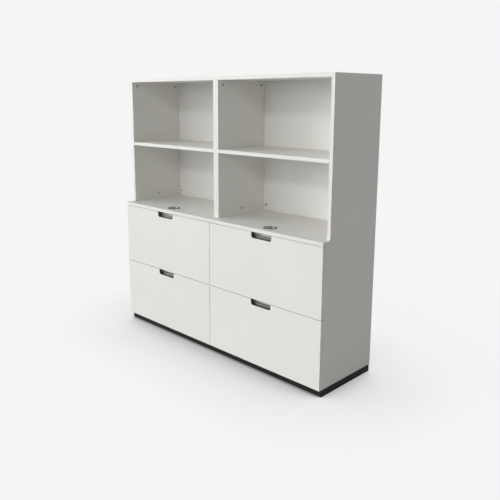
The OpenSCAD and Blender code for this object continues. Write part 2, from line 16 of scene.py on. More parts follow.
import bmesh
import bpy
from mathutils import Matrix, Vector

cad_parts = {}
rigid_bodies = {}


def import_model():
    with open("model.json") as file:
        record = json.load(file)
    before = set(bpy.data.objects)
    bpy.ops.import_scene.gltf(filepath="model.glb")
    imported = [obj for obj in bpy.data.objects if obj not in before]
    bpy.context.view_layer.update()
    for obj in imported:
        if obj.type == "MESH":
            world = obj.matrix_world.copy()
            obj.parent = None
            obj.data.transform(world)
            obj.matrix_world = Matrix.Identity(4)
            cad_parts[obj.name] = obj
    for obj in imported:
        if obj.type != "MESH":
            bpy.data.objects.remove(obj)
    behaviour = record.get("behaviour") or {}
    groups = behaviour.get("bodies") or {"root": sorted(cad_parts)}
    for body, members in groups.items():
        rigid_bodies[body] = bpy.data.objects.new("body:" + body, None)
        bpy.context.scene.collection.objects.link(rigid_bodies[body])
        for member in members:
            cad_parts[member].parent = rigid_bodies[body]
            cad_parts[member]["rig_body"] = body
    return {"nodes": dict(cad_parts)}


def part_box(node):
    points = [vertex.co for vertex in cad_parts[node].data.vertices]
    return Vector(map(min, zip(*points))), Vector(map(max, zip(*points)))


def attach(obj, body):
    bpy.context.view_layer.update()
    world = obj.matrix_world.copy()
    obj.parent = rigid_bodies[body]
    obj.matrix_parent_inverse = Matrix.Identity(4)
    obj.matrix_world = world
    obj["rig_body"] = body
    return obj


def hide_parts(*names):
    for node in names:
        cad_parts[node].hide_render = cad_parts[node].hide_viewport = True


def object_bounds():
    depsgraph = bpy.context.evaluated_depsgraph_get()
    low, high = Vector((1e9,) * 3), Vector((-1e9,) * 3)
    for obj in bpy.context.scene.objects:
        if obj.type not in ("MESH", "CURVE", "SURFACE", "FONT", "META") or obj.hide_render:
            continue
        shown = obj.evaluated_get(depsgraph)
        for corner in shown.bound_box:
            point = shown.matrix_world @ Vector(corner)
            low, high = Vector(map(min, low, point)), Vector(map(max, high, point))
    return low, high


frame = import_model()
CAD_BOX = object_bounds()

LOG = logging.getLogger("cupboard")

Colour = tuple[float, float, float]
Point = tuple[float, float, float]
Span = tuple[float, float]
Box = tuple[Sequence[float], Sequence[float]]
Socket = bpy.types.NodeSocket
Value = Socket | str | float | tuple[float, ...]

# Corners nearer than this, in metres, are one.
WELD: float = 1e-6
# The noise values between which most patterns change, and a change from full to none.
MIDDLE: Span = (0.3, 0.7)
FALLING: Span = (1.0, 0.0)


class Column(Enum):
    """A bay of the cupboard, by the word that node and body names use."""

    LEFT = "left"
    RIGHT = "right"


class Row(Enum):
    """A row of drawers, by the word that node and body names use."""

    LOWER = "lower"
    UPPER = "upper"


class Facing(Enum):
    """The way that screw heads face, as the turn that brings their +Z there."""

    REAR = (-math.pi / 2, 0.0, 0.0)
    LEFT = (0.0, -math.pi / 2, 0.0)
    RIGHT = (0.0, math.pi / 2, 0.0)


class Slot(Enum):
    """The record's material slots for pieces made here."""

    BOARD = "white_board"
    GRIP = "grip_plastic"
    PLINTH = "plinth_board"
    ZINC = "zinc_steel"
    LOCK = "lock_plastic"
    KNOB = "knob_metal"
    WHEEL = "wheel_plastic"


def opaque(colour: Socket | Colour) -> Value:
    """A colour as a shader takes it: a socket as it is, a plain colour with an alpha of 1."""
    return colour if isinstance(colour, Socket) else (*colour, 1.0)


class Nodes:
    """A node tree, with short calls to add its nodes and link them."""

    def __init__(self, tree: bpy.types.NodeTree) -> None:
        """Takes the tree that the nodes go into."""
        self.tree = tree

    def put(self, socket: Socket, value: Value) -> None:
        """Links a socket to another, or sets its own value.

        Args:
            socket: the input.
            value: an output socket, or the value.
        """
        if isinstance(value, Socket):
            self.tree.links.new(value, socket)
        else:
            socket.default_value = value

    def node(
        self, kind: str, inputs: dict[str, Value] | None = None, **settings: str | int
    ) -> bpy.types.Node:
        """Adds a node.

        Args:
            kind: Blender's name of the node type.
            inputs: what goes into the node, by the input's name.
            settings: properties of the node, by name.

        Returns:
            The node.
        """
        made = self.tree.nodes.new(kind)
        for name, setting in settings.items():
            setattr(made, name, setting)
        for name, value in (inputs or {}).items():
            self.put(made.inputs[name], value)
        return made

    def math(self, operation: str, *values: Value, clamp: bool = False) -> Socket:
        """Adds a Math node.

        Args:
            operation: Blender's name of the operation.
            values: one to three sockets or numbers.
            clamp: whether the result is kept from 0 to 1.

        Returns:
            The result's socket.
        """
        made = self.node("ShaderNodeMath", operation=operation, use_clamp=clamp)
        for i, value in enumerate(values):
            self.put(made.inputs[i], value)
        return made.outputs[0]


class Shader(Nodes):
    """The node tree of one material, with short calls for what the finishes share."""

    def __init__(self, name: str) -> None:
        """Starts a material with an empty Principled shader.

        Args:
            name: the material's name.
        """
        self.material = bpy.data.materials.new(name)
        self.material.use_nodes = True
        super().__init__(self.material.node_tree)
        self.tree.nodes.clear()
        self.bsdf = self.node("ShaderNodeBsdfPrincipled")
        self.surface = self.node("ShaderNodeOutputMaterial").inputs["Surface"]
        self.put(self.surface, self.bsdf.outputs["BSDF"])
        self.place = self.node("ShaderNodeTexCoord").outputs["Object"]

    def stretched(self, scale: Point, centre: Point = (0.0, 0.0, 0.0)) -> Socket:
        """Object coordinates about a centre, scaled along each axis.

        Args:
            scale: the factors along X, Y and Z.
            centre: the point that becomes the origin, in metres.

        Returns:
            The vector's socket.
        """
        shift = tuple(-c * s for c, s in zip(centre, scale))
        inputs = {"Vector": self.place, "Scale": scale, "Location": shift}
        return self.node("ShaderNodeMapping", inputs).outputs[0]

    def noise(self, scale: float, detail: float, place: Socket | None = None) -> Socket:
        """Smooth noise, by cells per metre, octaves and a place other than Object coordinates."""
        inputs = {"Vector": place or self.place, "Scale": scale, "Detail": detail}
        return self.node("ShaderNodeTexNoise", inputs).outputs[0]

    def cells(self, scale: float) -> Socket:
        """The distance from the centres of a pattern, by cells per metre."""
        made = self.node("ShaderNodeTexVoronoi", {"Vector": self.place, "Scale": scale})
        return made.outputs["Distance"]

    def ramp(self, value: Value, span: Span, to: Span = (0.0, 1.0)) -> Socket:
        """Maps a range smoothly onto another.

        Args:
            value: the socket to map.
            span: the values where the change begins and ends.
            to: the results there.

        Returns:
            The result's socket.
        """
        made = self.node("ShaderNodeMapRange", interpolation_type="SMOOTHSTEP")
        for i, number in enumerate((value, *span, *to)):
            self.put(made.inputs[i], number)
        return made.outputs[0]

    def clouds(self, scale: float, detail: float, span: Span, to: Span = (0.0, 1.0)) -> Socket:
        """Smooth noise on Object coordinates, mapped from one range onto another."""
        return self.ramp(self.noise(scale, detail), span, to)

    def blend(self, share: Value, first: Socket | Colour, second: Socket | Colour) -> Socket:
        """Mixes two colours.

        Args:
            share: 0 gives the first and 1 the second.
            first: a colour socket or a colour.
            second: a colour socket or a colour.

        Returns:
            The colour's socket.
        """
        made = self.node("ShaderNodeMix", data_type="RGBA")
        for i, value in ((0, share), (6, opaque(first)), (7, opaque(second))):
            self.put(made.inputs[i], value)
        return made.outputs[2]

    def shades(self, share: Value, colour: Colour, tones: Span) -> Socket:
        """Mixes a colour's two tones."""
        return self.blend(share, *(toned(colour, tone) for tone in tones))

    def tinted(self, colour: Socket | Colour, amount: Socket, share: float, tint: Colour) -> Socket:
        """Mixes a share of an amount of a tint into a colour."""
        return self.blend(self.math("MULTIPLY", amount, share), colour, tint)

    def relief(self, height: Value, depth: float, under: Socket | None = None) -> Socket:
        """Adds a Bump node.

        Args:
            height: the height's socket, from 0 to 1.
            depth: the relief's depth in metres.
            under: the normal of an earlier relief, or None.

        Returns:
            The normal's socket.
        """
        made = self.node("ShaderNodeBump", {"Strength": 1.0, "Distance": depth, "Height": height})
        if under is not None:
            self.put(made.inputs["Normal"], under)
        return made.outputs[0]

    def edge_distance(self, box: Box) -> Socket:
        """Distance on a box's faces to the nearest edge of the box.

        Args:
            box: its lowest and highest corners.

        Returns:
            The distance's socket, in metres.
        """
        parts = self.node("ShaderNodeSeparateXYZ", {"Vector": self.place})
        away = []
        for along, low, high in zip(parts.outputs, *box):
            below = self.math("ABSOLUTE", self.math("SUBTRACT", along, low))
            above = self.math("ABSOLUTE", self.math("SUBTRACT", high, along))
            away.append(self.math("MINIMUM", below, above))
        least = self.math("MINIMUM", away[0], away[1])
        most = self.math("MAXIMUM", away[0], away[1])
        return self.math("MAXIMUM", least, self.math("MINIMUM", most, away[2]))

    def finish(
        self, colour: Socket, roughness: Value, normal: Socket, **rest: Value
    ) -> bpy.types.Material:
        """Sets the shader's sockets.

        Args:
            colour: the base colour.
            roughness: the roughness.
            normal: the relief.
            rest: other sockets by name, with underscores for spaces.

        Returns:
            The material.
        """
        rest.update(Base_Color=colour, Roughness=roughness, Normal=normal)
        for name, value in rest.items():
            self.put(self.bsdf.inputs[name.replace("_", " ")], value)
        return self.material


def toned(colour: Colour, factor: float) -> Colour:
    """A linear colour with each channel multiplied by a factor."""
    return tuple(min(1.0, c * factor) for c in colour)


@dataclass(frozen=True)
class FoilBoard:
    """Foil-faced particleboard: a pearl relief, faint clouds, glue lines and light edge wear."""

    name: str
    colour: Colour = (0.790, 0.782, 0.748)
    roughness: float = 0.46
    gloss: float = 0.42
    cloud_scale: float = 3.1
    cloud_tones: Span = (0.985, 1.012)
    speck_scale: float = 420.0
    speck_share: float = 0.35
    speck_tone: float = 0.975
    band: float = 0.0011
    line_fade: Span = (0.00006, 0.00018)
    line_share: float = 0.35
    line_tone: float = 0.62
    line_depth: float = 0.00006
    wear: float = 0.5
    wear_reach: Span = (0.0004, 0.0022)
    wear_scale: float = 38.0
    wear_share: float = 0.4
    wear_tone: float = 0.80
    wear_dulls: float = 0.15
    haze_scale: float = 11.0
    haze: Span = (-0.02, 0.03)
    wave_scale: float = 5.0
    wave_depth: float = 0.0001
    pearl_scale: float = 1500.0
    pearl_depth: float = 0.000035

    def material(self, box: Box) -> bpy.types.Material:
        """Makes the material of one board.

        Args:
            box: the board's lowest and highest corners.

        Returns:
            The material.
        """
        s = Shader(self.name)
        clouds = s.clouds(self.cloud_scale, 3.0, MIDDLE)
        colour = s.shades(clouds, self.colour, self.cloud_tones)
        specks = s.clouds(self.speck_scale, 1.0, (0.35, 0.65))
        fleck = toned(self.colour, self.speck_tone)
        colour = s.tinted(colour, specks, self.speck_share, fleck)
        edge = s.edge_distance(box)
        beside = s.math("ABSOLUTE", s.math("SUBTRACT", edge, self.band))
        line = s.ramp(beside, self.line_fade, (self.line_share, 0.0))
        colour = s.blend(line, colour, toned(self.colour, self.line_tone))
        near_edge = s.ramp(edge, self.wear_reach, FALLING)
        rubbed = s.math("MULTIPLY", near_edge, s.clouds(self.wear_scale, 4.0, (0.52, 0.66)))
        rubbed = s.math("MULTIPLY", rubbed, self.wear)
        colour = s.tinted(colour, rubbed, self.wear_share, toned(self.colour, self.wear_tone))
        haze = (self.roughness + self.haze[0], self.roughness + self.haze[1])
        hazy = s.clouds(self.haze_scale, 3.0, (0.35, 0.7), haze)
        dulled = s.math("MULTIPLY", rubbed, self.wear_dulls)
        roughness = s.math("ADD", hazy, dulled, clamp=True)
        wavy = s.relief(s.noise(self.wave_scale, 1.0), self.wave_depth)
        pearl = s.relief(s.noise(self.pearl_scale, 2.0), self.pearl_depth, wavy)
        grooved = s.relief(s.math("SUBTRACT", 1.0, line), self.line_depth, pearl)
        return s.finish(colour, roughness, grooved, Specular_IOR_Level=self.gloss)


@dataclass(frozen=True)
class PowderCoat:
    """Powder-coated sheet steel: orange peel, pressed beads along the sheet and chipped edges."""

    name: str
    colour: Colour = (0.74, 0.735, 0.71)
    steel: Colour = (0.28, 0.28, 0.29)
    roughness: float = 0.42
    cloud_scale: float = 6.0
    cloud_tones: Span = (0.98, 1.015)
    peel_scale: float = 620.0
    peel_depth: float = 0.00004
    chip_reach: Span = (0.0003, 0.0012)
    chip_scale: float = 90.0
    chip_share: float = 0.8
    beads: tuple[float, ...] = ()
    bead_width: float = 0.009
    bead_depth: float = 0.0016

    def material(self, box: Box) -> bpy.types.Material:
        """Makes the material of one drawer's walls.

        Args:
            box: the walls' lowest and highest corners.

        Returns:
            The material.
        """
        s = Shader(self.name)
        peel = s.noise(self.peel_scale, 2.0)
        clouds = s.clouds(self.cloud_scale, 3.0, MIDDLE)
        colour = s.shades(clouds, self.colour, self.cloud_tones)
        near_edge = s.ramp(s.edge_distance(box), self.chip_reach, FALLING)
        chips = s.math("MULTIPLY", near_edge, s.clouds(self.chip_scale, 4.0, (0.64, 0.7)))
        colour = s.tinted(colour, chips, self.chip_share, self.steel)
        roughness = s.ramp(peel, MIDDLE, (self.roughness - 0.04, self.roughness + 0.06))
        normal = s.relief(peel, self.peel_depth)
        parts = s.node("ShaderNodeSeparateXYZ", {"Vector": s.place})
        for height in self.beads:
            away = s.math("ABSOLUTE", s.math("SUBTRACT", parts.outputs["Z"], box[0][2] + height))
            bead = s.ramp(away, (0.0, self.bead_width), FALLING)
            normal = s.relief(bead, self.bead_depth, normal)
        return s.finish(colour, roughness, normal, Specular_IOR_Level=0.5)


@dataclass(frozen=True)
class MouldedPlastic:
    """Moulded plastic: spark-eroded grain with painted glints, faint flow clouds and rims polished
    by use.
    """

    name: str
    colour: Colour
    roughness: float = 0.45
    gloss: float = 0.5
    grain_scale: float = 2600.0
    grain: float = 0.00003
    flow_scale: float = 45.0
    flow_stretch: Point = (1.0, 3.0, 3.0)
    flow_tones: Span = (0.9, 1.1)
    # Painted highlight on the grain's peaks: its share and its tone.
    glint_share: float = 0.35
    glint_tone: float = 1.5
    rim_reach: Span = (0.0004, 0.0035)
    rim_scale: float = 60.0
    polish: float = 0.12

    def material(self, box: Box) -> bpy.types.Material:
        """Makes the material of one moulding.

        Args:
            box: the moulding's lowest and highest corners.

        Returns:
            The material.
        """
        s = Shader(self.name)
        grain = s.noise(self.grain_scale, 2.0)
        flow = s.ramp(s.noise(self.flow_scale, 3.0, s.stretched(self.flow_stretch)), MIDDLE)
        colour = s.shades(flow, self.colour, self.flow_tones)
        # Painted highlight: glints lighten the base colour on the grain's peaks.
        painted_glints = s.ramp(grain, (0.6, 0.8), (0.0, self.glint_share))
        colour = s.blend(painted_glints, colour, toned(self.colour, self.glint_tone))
        near_edge = s.ramp(s.edge_distance(box), self.rim_reach, FALLING)
        rubbed = s.math("MULTIPLY", near_edge, s.clouds(self.rim_scale, 3.0, (0.4, 0.65)))
        roughness = s.math("SUBTRACT", self.roughness, s.math("MULTIPLY", rubbed, self.polish))
        roughness = s.math("ADD", roughness, s.ramp(grain, MIDDLE, (-0.03, 0.05)), clamp=True)
        normal = s.relief(grain, self.grain)
        return s.finish(colour, roughness, normal, Specular_IOR_Level=self.gloss)


@dataclass(frozen=True)
class ZincSheet:
    """Zinc-plated sheet steel: rolling streaks, a faint spangle, dull patches and a painted
    highlight along the edges.
    """

    name: str
    colour: Colour = (0.56, 0.57, 0.585)
    roughness: float = 0.38
    streak_scale: float = 14.0
    streak_depth: float = 0.00001
    streak_tones: Span = (0.88, 1.1)
    satin: float = 0.07
    along: Point = (60.0, 2.2, 60.0)
    spangle_scale: float = 240.0
    spangle_share: float = 0.25
    spangle_tone: float = 0.8
    dull_scale: float = 24.0
    dull_share: float = 0.3
    dull_tone: float = 0.72
    dull_roughness: float = 0.12
    # Painted highlight along the edges: its reach, its share and its tone.
    edge_reach: Span = (0.0002, 0.0009)
    edge_share: float = 0.5
    edge_tone: float = 1.3

    def material(self, box: Box) -> bpy.types.Material:
        """Makes the material of one plated piece.

        Args:
            box: the piece's lowest and highest corners.

        Returns:
            The material.
        """
        s = Shader(self.name)
        streaks = s.noise(self.streak_scale, 4.0, s.stretched(self.along))
        spangle = s.ramp(s.cells(self.spangle_scale), (0.1, 0.8))
        dull = s.clouds(self.dull_scale, 3.0, (0.42, 0.7))
        colour = s.shades(s.ramp(streaks, (0.35, 0.65)), self.colour, self.streak_tones)
        facet = toned(self.colour, self.spangle_tone)
        colour = s.tinted(colour, spangle, self.spangle_share, facet)
        colour = s.tinted(colour, dull, self.dull_share, toned(self.colour, self.dull_tone))
        # Painted highlight: the base colour lightened near the piece's edges.
        edge_highlight = s.ramp(s.edge_distance(box), self.edge_reach, (self.edge_share, 0.0))
        colour = s.blend(edge_highlight, colour, toned(self.colour, self.edge_tone))
        satin = s.ramp(streaks, MIDDLE, (self.roughness - self.satin, self.roughness + self.satin))
        rough = s.math("MULTIPLY", dull, self.dull_roughness)
        roughness = s.math("ADD", satin, rough, clamp=True)
        return s.finish(colour, roughness, s.relief(streaks, self.streak_depth), Metallic=1.0)


@dataclass(frozen=True)
class TurnedMetal:
    """Satin metal with turning rings about an upright axis, a painted edge highlight and painted
    shade at its foot.
    """

    name: str
    centre: Point
    colour: Colour = (0.97, 0.97, 0.96)
    roughness: float = 0.3
    ring: float = 0.0004
    ring_depth: float = 0.000004
    ring_share: float = 0.4
    ring_tone: float = 0.85
    scuff_scale: float = 300.0
    scuff_share: float = 0.3
    scuff_tone: float = 0.7
    scuff_roughness: float = 0.12
    # Painted highlight along the edges: its reach, its share and its tone.
    edge_reach: Span = (0.0002, 0.0008)
    edge_share: float = 0.4
    edge_tone: float = 1.25
    # Painted shade where the knob meets the housing: how far below the top it starts, its fade and
    # its tone.
    disc_drop: float = 0.0075
    disc_fade: float = 0.00005
    disc_tone: float = 0.19

    def material(self, box: Box) -> bpy.types.Material:
        """Makes the material of one turned piece.

        Args:
            box: the piece's lowest and highest corners.

        Returns:
            The material.
        """
        s = Shader(self.name)
        about = s.stretched((1.0, 1.0, 1.0), self.centre)
        x, y, height = s.node("ShaderNodeSeparateXYZ", {"Vector": about}).outputs
        radius = s.math("SQRT", s.math("ADD", s.math("MULTIPLY", x, x), s.math("MULTIPLY", y, y)))
        rings = s.math("SINE", s.math("MULTIPLY", radius, 2 * math.pi / self.ring))
        rings = s.ramp(rings, (-1.0, 1.0))
        scuffs = s.clouds(self.scuff_scale, 4.0, (0.5, 0.7))
        groove = toned(self.colour, self.ring_tone)
        colour = s.tinted(self.colour, rings, self.ring_share, groove)
        colour = s.tinted(colour, scuffs, self.scuff_share, toned(self.colour, self.scuff_tone))
        # Painted highlight: the base colour lightened near the piece's edges.
        edge_highlight = s.ramp(s.edge_distance(box), self.edge_reach, (self.edge_share, 0.0))
        colour = s.blend(edge_highlight, colour, toned(self.colour, self.edge_tone))
        # Painted shade: the colour darkened below a height near the foot, where the knob meets the
        # housing.
        disc = (-self.disc_drop - self.disc_fade, -self.disc_drop + self.disc_fade)
        foot = s.ramp(height, disc, FALLING)
        colour = s.blend(foot, colour, toned(self.colour, self.disc_tone))
        satin = s.ramp(rings, (0.0, 1.0), (self.roughness - 0.04, self.roughness + 0.05))
        rough = s.math("MULTIPLY", scuffs, self.scuff_roughness)
        roughness = s.math("ADD", satin, rough, clamp=True)
        return s.finish(colour, roughness, s.relief(rings, self.ring_depth), Metallic=1.0)


@dataclass(frozen=True)
class PrintedInk:
    """Matt ink of the wheels' numbers, slightly uneven."""

    name: str
    colour: Colour = (0.025, 0.025, 0.027)
    roughness: float = 0.6
    grain_scale: float = 4000.0
    grain_depth: float = 0.00001

    def material(self) -> bpy.types.Material:
        """Makes the ink's material.

        Returns:
            The material.
        """
        s = Shader(self.name)
        grain = s.noise(self.grain_scale, 2.0)
        colour = s.blend(s.ramp(grain, (0.4, 0.7)), self.colour, toned(self.colour, 0.82))
        roughness = s.ramp(grain, MIDDLE, (self.roughness, self.roughness + 0.1))
        return s.finish(colour, roughness, s.relief(grain, self.grain_depth))


Finish = FoilBoard | PowderCoat | MouldedPlastic | ZincSheet | TurnedMetal


class ShapeTree(Nodes):
    """A geometry tree with named inputs, used on one object and then made a plain mesh."""

    def __init__(self, name: str) -> None:
        """Starts a tree with a geometry output.

        Args:
            name: the tree's name.
        """
        super().__init__(bpy.data.node_groups.new(name, "GeometryNodeTree"))
        self.sockets: dict[str, str] = {}
        kind = "NodeSocketGeometry"
        self.tree.interface.new_socket("Geometry", in_out="OUTPUT", socket_type=kind)
        self.inputs = self.node("NodeGroupInput")
        self.output = self.node("NodeGroupOutput")

    def take(self, kinds: dict[str, str]) -> list[Socket]:
        """Adds named inputs.

        Args:
            kinds: Float, Int, Vector or Material, by the input's name.

        Returns:
            The sockets inside the tree.
        """
        new = self.tree.interface.new_socket
        for name, kind in kinds.items():
            made = new(name, in_out="INPUT", socket_type=f"NodeSocket{kind}")
            self.sockets[name] = made.identifier
        return [self.inputs.outputs[name] for name in kinds]

    def moved(self, geometry: Socket, way: str, value: Value) -> Socket:
        """Moves or turns a shape, by the Transform input Translation or Rotation."""
        return self.node("GeometryNodeTransform", {"Geometry": geometry, way: value}).outputs[0]

    def based(self, base: Socket, shell: Socket) -> Socket:
        """Closes a shell raised from a flat base with that base, turned over.

        Args:
            base: the flat base.
            shell: the shell raised from it.

        Returns:
            The closed shape's socket.
        """
        both = self.node("GeometryNodeJoinGeometry", {"Geometry": shell})
        under = self.node("GeometryNodeFlipFaces", {"Mesh": base})
        self.put(both.inputs[0], under.outputs[0])
        weld = {"Geometry": both.outputs[0], "Distance": WELD}
        return self.node("GeometryNodeMergeByDistance", weld).outputs[0]

    def close(self, geometry: Socket, material: Socket) -> None:
        """Ends the tree in Realize Instances and Set Material.

        Args:
            geometry: the last shape.
            material: the material input.
        """
        real = self.node("GeometryNodeRealizeInstances", {"Geometry": geometry})
        inputs = {"Geometry": real.outputs[0], "Material": material}
        self.put(self.output.inputs[0], self.node("GeometryNodeSetMaterial", inputs).outputs[0])


def screw_tree(name: str) -> ShapeTree:
    """A row of round heads with a drive recess between two points.

    Args:
        name: the tree's name.

    Returns:
        The tree, with inputs for the row's ends and number, and the heads' sizes and turn.
    """
    t = ShapeTree(name)
    start, end, count, radius, height, turn, material = t.take({
        "Start": "Vector", "End": "Vector", "Count": "Int", "Head Radius": "Float",
        "Head Height": "Float", "Turn": "Vector", "Material": "Material",
    })

    rim_inputs = {"Vertices": 16, "Radius": radius}
    rim = t.node("GeometryNodeMeshCircle", rim_inputs, fill_type="NGON").outputs["Mesh"]
    shape, top = rim, True
    steps = ((0.55, 1.0), (0.3, 0.86), (0.15, 0.6), (0.0, 0.62), (-0.55, 0.72))
    for rise, shrink in steps:
        raised = {"Mesh": shape, "Selection": top, "Offset Scale": t.math("MULTIPLY", height, rise)}
        push = t.node("GeometryNodeExtrudeMesh", raised, mode="FACES")
        top = push.outputs["Top"]
        shrunk = {"Geometry": push.outputs["Mesh"], "Selection": top, "Scale": shrink}
        shape = t.node("GeometryNodeScaleElements", shrunk, domain="FACE").outputs[0]

    ends = {"Count": count, "Start Location": start, "Offset": end}
    line = t.node("GeometryNodeMeshLine", ends, mode="END_POINTS").outputs["Mesh"]
    heads = {"Points": line, "Instance": t.based(rim, shape), "Rotation": turn}
    t.close(t.node("GeometryNodeInstanceOnPoints", heads).outputs["Instances"], material)
    return t


def rib_tree() -> ShapeTree:
    """Upright ribs round a disc.

    Returns:
        The tree, with inputs for the centre, the radius, the number and the ribs' sizes.
    """
    t = ShapeTree("rib_ring")
    centre, radius, count, width, height, material = t.take({
        "Centre": "Vector", "Radius": "Float", "Count": "Int", "Rib Width": "Float",
        "Rib Height": "Float", "Material": "Material",
    })

    circle = {"Vertices": count, "Radius": radius}
    ring = t.node("GeometryNodeMeshCircle", circle, fill_type="NONE").outputs["Mesh"]
    sizes = {"Vertices": 8, "Radius": width, "Depth": height}
    rib = t.node("GeometryNodeMeshCylinder", sizes, fill_type="NGON").outputs["Mesh"]
    ribs = t.node("GeometryNodeInstanceOnPoints", {"Points": ring, "Instance": rib})
    t.close(t.moved(ribs.outputs["Instances"], "Translation", centre), material)
    return t


def number_tree(facets: int = 10) -> ShapeTree:
    """The numbers from 0 on the facets of a code wheel about the X axis.

    Args:
        facets: the number of facets.

    Returns:
        The tree, with inputs for the wheel's centre, the facets' distance and the figures' size.
    """
    t = ShapeTree("wheel_numbers")
    centre, apothem, size, depth, material = t.take({
        "Centre": "Vector", "Facet Distance": "Float", "Figure Size": "Float",
        "Figure Depth": "Float", "Material": "Material",
    })

    figures = t.node("GeometryNodeJoinGeometry")
    lift = t.node("ShaderNodeCombineXYZ", {"Z": apothem}).outputs[0]
    step = 360.0 / facets
    for figure in range(facets):
        words = t.node(
            "GeometryNodeStringToCurves", {"String": str(figure), "Size": size},
            align_x="CENTER", align_y="MIDDLE",
        )
        flat = t.node("GeometryNodeFillCurve", {"Curve": words.outputs[0]}, mode="NGONS").outputs[0]
        inputs = {"Mesh": flat, "Offset Scale": depth, "Individual": False}
        solid = t.node("GeometryNodeExtrudeMesh", inputs, mode="FACES").outputs["Mesh"]
        raised = t.moved(t.based(flat, solid), "Translation", lift)
        turn = (math.radians(step * figure + step / 2), 0.0, 0.0)
        t.put(figures.inputs[0], t.moved(raised, "Rotation", turn))
    t.close(t.moved(figures.outputs[0], "Translation", centre), material)
    return t


def placed(name: str, mesh: bpy.types.Mesh) -> bpy.types.Object:
    """Puts a mesh in the scene as an object at the origin.

    Args:
        name: the object's name.
        mesh: the mesh, with its place in its vertices.

    Returns:
        The object.
    """
    made = bpy.data.objects.new(name, mesh)
    bpy.context.scene.collection.objects.link(made)
    return made


def meshed(name: str, bm: bmesh.types.BMesh) -> bpy.types.Mesh:
    """Turns a BMesh into a mesh and frees it.

    Args:
        name: the mesh's name.
        bm: the BMesh.

    Returns:
        The mesh.
    """
    mesh = bpy.data.meshes.new(name)
    bm.to_mesh(mesh)
    bm.free()
    return mesh


def grown(
    tree: ShapeTree, name: str, values: dict[str, float | Point | bpy.types.Material]
) -> bpy.types.Object:
    """Runs a geometry tree once and keeps its result as a plain mesh.

    Args:
        tree: the tree.
        name: the new object's name.
        values: the tree's inputs by name.

    Returns:
        The object, in the scene and with no modifier.
    """
    carrier = placed(f"{name}_carrier", bpy.data.meshes.new(f"{name}_carrier"))
    modifier = carrier.modifiers.new(tree.tree.name, "NODES")
    modifier.node_group = tree.tree
    for key, value in values.items():
        modifier[tree.sockets[key]] = value
    carrier.update_tag()
    bpy.context.view_layer.update()
    depsgraph = bpy.context.evaluated_depsgraph_get()
    mesh = bpy.data.meshes.new_from_object(carrier.evaluated_get(depsgraph))
    bpy.data.objects.remove(carrier)
    mesh.name = name
    mesh.materials.clear()
    mesh.materials.append(values["Material"])
    mesh.polygons.foreach_set("material_index", [0] * len(mesh.polygons))
    return placed(name, mesh)


def joined(name: str, pieces: Sequence[bpy.types.Object]) -> bpy.types.Object:
    """Joins finished pieces of one material into one object.

    Args:
        name: the new object's name.
        pieces: the objects, which are removed.

    Returns:
        The object.
    """
    bm = bmesh.new()
    for piece in pieces:
        bm.from_mesh(piece.data)
    mesh = meshed(name, bm)
    mesh.materials.append(pieces[0].data.materials[0])
    for piece in pieces:
        bpy.data.objects.remove(piece)
    return placed(name, mesh)


def paint(obj: bpy.types.Object, material: bpy.types.Material) -> None:
    """Gives an object one material."""
    obj.data.materials.clear()
    obj.data.materials.append(material)


def coat(node: str, finish: Finish) -> None:
    """Gives a CAD node a finish and leaves its mesh as it is."""
    paint(frame["nodes"][node], finish.material(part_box(node)))


def assign(piece: bpy.types.Object, node: str) -> None:
    """Puts a piece on the body that a CAD node belongs to."""
    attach(piece, frame["nodes"][node]["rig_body"])


@dataclass(frozen=True)
class Easing:
    """The rounding of a copy's outer edges, in metres and degrees, from a least edge length."""

    radius: float
    least: float = 0.012
    segments: int = 2
    flat_angle: float = 0.2
    sharp_angle: float = 50.0

    def copy(self, node: str, finish: Finish, slot: Slot) -> bpy.types.Object:
        """Makes a finished copy of a CAD node with rounded edges.

        Args:
            node: the CAD node that the copy stands for.
            finish: the copy's finish.
            slot: not used.

        Returns:
            The copy, in the node's place.
        """
        bm = bmesh.new()
        bm.from_mesh(frame["nodes"][node].data)
        bmesh.ops.remove_doubles(bm, verts=bm.verts, dist=WELD)
        flat, sharp = math.radians(self.flat_angle), math.radians(self.sharp_angle)
        bmesh.ops.dissolve_limit(bm, angle_limit=flat, verts=bm.verts, edges=bm.edges)
        outer = [e for e in bm.edges if e.is_manifold and e.calc_face_angle_signed() > sharp]
        bmesh.ops.bevel(
            bm, geom=[e for e in outer if e.calc_length() > self.least], offset=self.radius,
            segments=self.segments, profile=0.5, affect="EDGES", clamp_overlap=True,
        )
        for face in bm.faces:
            face.smooth = False
        made = placed(f"{node}_eased", meshed(f"{node}_eased", bm))
        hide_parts(node)
        paint(made, finish.material(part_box(node)))
        assign(made, node)
        return made


@dataclass(frozen=True)
class HeadRow:
    """A straight row of screw or rivet heads."""

    start: Point
    end: Point
    count: int
    facing: Facing


@dataclass(frozen=True)
class Head:
    """A kind of screw or rivet head, with its sizes in metres."""

    name: str
    radius: float
    height: float

    def set_rows(self, rows: Sequence[HeadRow], body: str, metal: bpy.types.Material) -> None:
        """Makes rows of this head on one body, as one object.

        Args:
            rows: the rows.
            body: the body that carries them.
            metal: their material.
        """
        tree = screw_tree(self.name)
        made = [
            grown(tree, f"{self.name}_{body}_{i}", {
                "Start": row.start, "End": row.end, "Count": row.count, "Turn": row.facing.value,
                "Head Radius": self.radius, "Head Height": self.height, "Material": metal,
            })
            for i, row in enumerate(rows)
        ]
        heads = joined(f"{self.name}_{body}", made)
        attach(heads, body)
        LOG.info("%s on %s in %d rows", self.name, body, len(rows))


